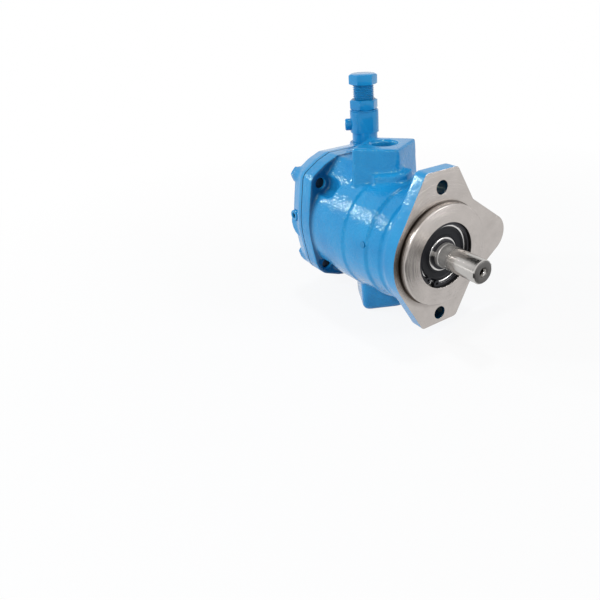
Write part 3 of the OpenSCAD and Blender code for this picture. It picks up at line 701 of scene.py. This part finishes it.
def dressNodes():
    nodeLooks["groundSteel"] += ["piston_%d" % i for i in range(1, 10)]
    nodeLooks["bronze"] += ["shoe_%d" % i for i in range(1, 10)]
    for look, names in nodeLooks.items():
        for name in names:
            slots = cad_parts[name].data.materials
            if not slots:
                slots.append(None)
            for i in range(len(slots)):
                slots[i] = looks[look]
    print("kept nodes dressed")


# plain pale floor, white surroundings and soft lamps
studio = {"floorZ": -73.2, "floorSize": 30, "white": 0.88, "fade": (0.22, 0.65),
          "skyDiffuse": 0.31, "floorColour": (0.82, 0.83, 0.85, 1), "aim": (0, 0.05, 0),
          "cardColour": (0.02, 0.02, 0.02, 1)}
# lamps: place in metres, size in metres and power in watts
lamps = [
    ("leftLamp", (-0.95, 0.85, 0.75), 0.14, 4.0),
    ("glintLamp", (-0.69, 1.055, 0.55), 0.10, 2.5),
    ("fillLamp", (-1.25, 0.20, 0.02), 0.70, 2.2),
    ("topLamp", (0.05, 0.15, 1.20), 0.14, 3.5),
    ("stripeLamp", (-0.80, -0.35, 0.65), 0.10, 3.0),
    ("frontLamp", (0.55, -1.00, 0.45), 0.45, 5.5),
]
# dark cards: place, what they face, width and height in metres
cards = [
    ("cardHigh", (-0.33, 0.20, 0.82), (0, 0.20, 0), (0.26, 2.6)),
    ("cardMiddle", (-0.87, 0.20, 0.16), (0, 0.20, 0), (0.26, 2.6)),
    ("cardTop", (0.20, 0.20, 0.95), (0, 0.20, 0), (0.70, 2.6)),
    ("cardLow", (-0.13, -0.30, -0.0705), (-0.13, -0.30, 1), (0.38, 0.42)),
]


def staged(name, look, matrix, size):
    # a flat square of the studio
    bm = bmesh.new()
    bmesh.ops.create_grid(bm, x_segments=1, y_segments=1, size=size, matrix=matrix)
    mesh = bpy.data.meshes.new(name)
    bm.to_mesh(mesh)
    bm.free()
    mesh.materials.append(look)
    made = bpy.data.objects.new(name, mesh)
    scene.collection.objects.link(made)
    return made


def floorLook():
    # white to the rays that show it, and whiter still away from the pump; its shadow stays
    look = Look("paleFloor")
    far = look.band(look.radius("X", "Y"), *studio["fade"])
    share = look.seen() * (studio["white"] + (1 - studio["white"]) * far)
    matt = look.node("ShaderNodeBsdfDiffuse", {}, {"Color": studio["floorColour"]})
    glow = look.node("ShaderNodeEmission", {}, {"Color": (1, 1, 1, 1), "Strength": 1.0})
    return look.show(look.node("ShaderNodeMixShader", {}, {0: share, 1: matt, 2: glow}))


def makeStudio():
    drop = Matrix.Translation((0, 0, studio["floorZ"] * mm))
    staged("floor", floorLook(), drop, studio["floorSize"])

    scene.world = bpy.data.worlds.new("studioWhite")
    sky = Look("studioWhite", scene.world)
    strength = sky.node("ShaderNodeMapRange", {}, {"Value": sky.seen(), "To Max": 1.0,
                                                   "To Min": studio["skyDiffuse"]})
    light = sky.node("ShaderNodeBackground", {}, {"Color": (1, 1, 1, 1), "Strength": strength})
    sky.show(light, "ShaderNodeOutputWorld")

    for name, place, size, power in lamps:
        data = bpy.data.lights.new(name, "AREA")
        data.shape = "DISK"
        data.size = size
        data.energy = power
        lamp = bpy.data.objects.new(name, data)
        lamp.location = place
        away = Vector(studio["aim"]) - Vector(place)
        lamp.rotation_euler = away.to_track_quat("-Z", "Y").to_euler()
        scene.collection.objects.link(lamp)

    for name, place, target, size in cards:  # only reflections see them
        look = Look(name).finish(colour=studio["cardColour"], rough=0.9)
        turn = (Vector(target) - Vector(place)).to_track_quat("-Z", "Y").to_matrix().to_4x4()
        card = staged(name, look, Matrix.Translation(place) @ turn @ Matrix.Diagonal((*size, 1, 1)),
                      0.5)
        card.visible_camera = False
        card.visible_diffuse = False
        card.visible_shadow = False
    scene.view_settings.view_transform = "Standard"
    print("studio made")


placeCamera()
makeStudio()
makeHousing()
makeCover()
makeCompensator()
makeBearing()
makeShaft()
dressNodes()
